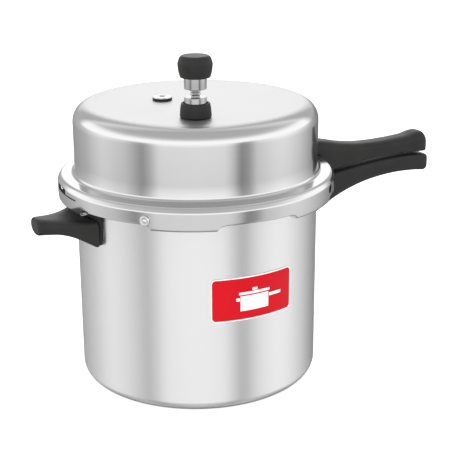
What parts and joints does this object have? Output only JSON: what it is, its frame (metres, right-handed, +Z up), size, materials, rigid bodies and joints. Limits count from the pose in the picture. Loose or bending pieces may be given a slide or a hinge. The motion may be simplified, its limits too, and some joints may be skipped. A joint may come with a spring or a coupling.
{
  "type": "stovetop pressure cooker",
  "caption": "Tall straight-sided aluminium stovetop pressure cooker with a high outer lid, paired black long handles, a helper handle and a weighted vent valve.",
  "frame": {"origin": "centre of the pot's flat base, on its underside", "axes": "+Z up along the pot's axis, +X along the long handles, helper handle along -X"},
  "size_m": [0.4532, 0.2804, 0.3433],
  "materials": {
    "aluminium": "satin, lightly spun",
    "bright_steel": "polished",
    "brass": "turned",
    "phenolic": "satin black phenolic",
    "rubber": "matt black nitrile",
    "label": "printed vinyl, semi-gloss",
    "fusible_metal": "dull grey alloy"
  },
  "bodies": {
    "pot": {"pot_shell": "aluminium", "pot_label": "label", "pot_handle_bracket": "bright_steel", "pot_bracket_rivet_1": "aluminium", "pot_bracket_rivet_2": "aluminium", "pot_bracket_rivet_3": "aluminium", "pot_handle": "phenolic", "pot_handle_screw": "bright_steel", "pot_handle_insert": "brass", "helper_bracket": "bright_steel", "helper_bracket_rivet_1": "aluminium", "helper_bracket_rivet_2": "aluminium", "helper_guard_plate": "phenolic", "helper_handle": "phenolic", "helper_handle_screw": "bright_steel", "helper_handle_insert": "brass"},
    "lid": {"lid_shell": "aluminium", "lid_gasket": "rubber", "lid_stop_rivet": "aluminium", "lid_handle_bracket": "bright_steel", "lid_bracket_rivet_1": "aluminium", "lid_bracket_rivet_2": "aluminium", "lid_handle": "phenolic", "lid_handle_screw": "bright_steel", "lid_handle_insert": "brass", "vent_base": "phenolic", "vent_stem": "bright_steel", "vent_washer": "rubber", "vent_nut": "brass", "safety_plug_seal": "rubber", "safety_plug_body": "bright_steel", "safety_plug_core": "fusible_metal", "safety_plug_nut": "brass"},
    "weight_clip": {"weight_ring": "bright_steel"},
    "weight": {"weight_body": "bright_steel", "weight_needle": "bright_steel", "weight_cap": "phenolic"}
  },
  "joints": [
    {"name": "lid_turn", "type": "hinge", "parent": "pot", "child": "lid", "pos_m": [0, 0, 0.2], "axis": [0, 0, 1], "range_deg": [-30, 0]},
    {"name": "weight_lift", "type": "slide", "parent": "lid", "child": "weight_clip", "axis": [0, 0, 1], "range_m": [0, 0.03]},
    {"name": "weight_spin", "type": "hinge", "parent": "weight_clip", "child": "weight", "pos_m": [-0.0334, -0.0716, 0.32], "axis": [0, 0, 1], "continuous": true}
  ]
}
